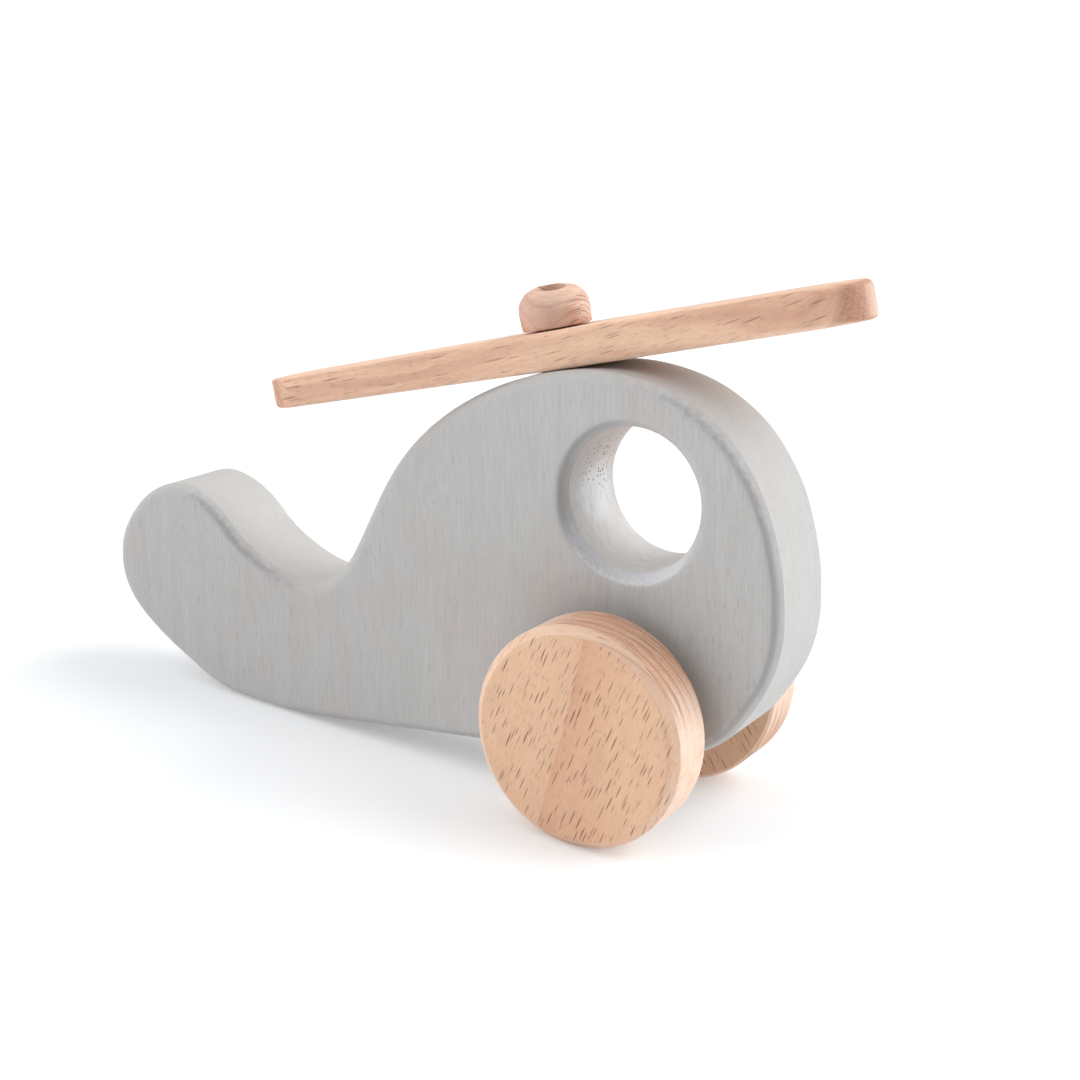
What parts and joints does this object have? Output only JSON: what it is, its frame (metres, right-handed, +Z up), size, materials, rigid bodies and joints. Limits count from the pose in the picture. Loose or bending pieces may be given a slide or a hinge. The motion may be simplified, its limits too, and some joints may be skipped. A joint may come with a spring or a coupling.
{
  "type": "toy helicopter",
  "caption": "Solid beech push-along toy helicopter: a grey stained body with a round window hole, one pair of rolling disc wheels and a slat rotor that spins under a turned bead.",
  "frame": {"origin": "on the floor, at the middle of the toy's length and of its width, with the rotor at its rest position", "axes": "+X towards the nose, +Z up, so the axle runs along Y and wheel_near is on the -Y side"},
  "size_m": [0.1509, 0.0494, 0.1001],
  "materials": {
    "grey_stain": "beech under a matt light warm grey semi-transparent stain",
    "beech_wheel": "bare oiled beech with short dark flecks",
    "beech_blade": "bare sanded beech, grain along the slat",
    "beech_cap": "bare turned beech",
    "beech_dowel": "bare beech dowel"
  },
  "bodies": {
    "fuselage": {"body": "grey_stain", "mast": "beech_dowel", "rotor_cap": "beech_cap"},
    "rotor": {"rotor_blade": "beech_blade"},
    "wheelset": {"axle": "beech_dowel", "wheel_near": "beech_wheel", "wheel_far": "beech_wheel"}
  },
  "joints": [
    {"name": "rotor_spin", "type": "hinge", "parent": "fuselage", "child": "rotor", "pos_m": [0.02083, 0, 0.081], "axis": [-0.2857, 0, 0.9583], "continuous": true},
    {"name": "wheel_roll", "type": "hinge", "parent": "fuselage", "child": "wheelset", "pos_m": [0.0429, 0, 0.02], "axis": [0, 1, 0], "continuous": true}
  ]
}
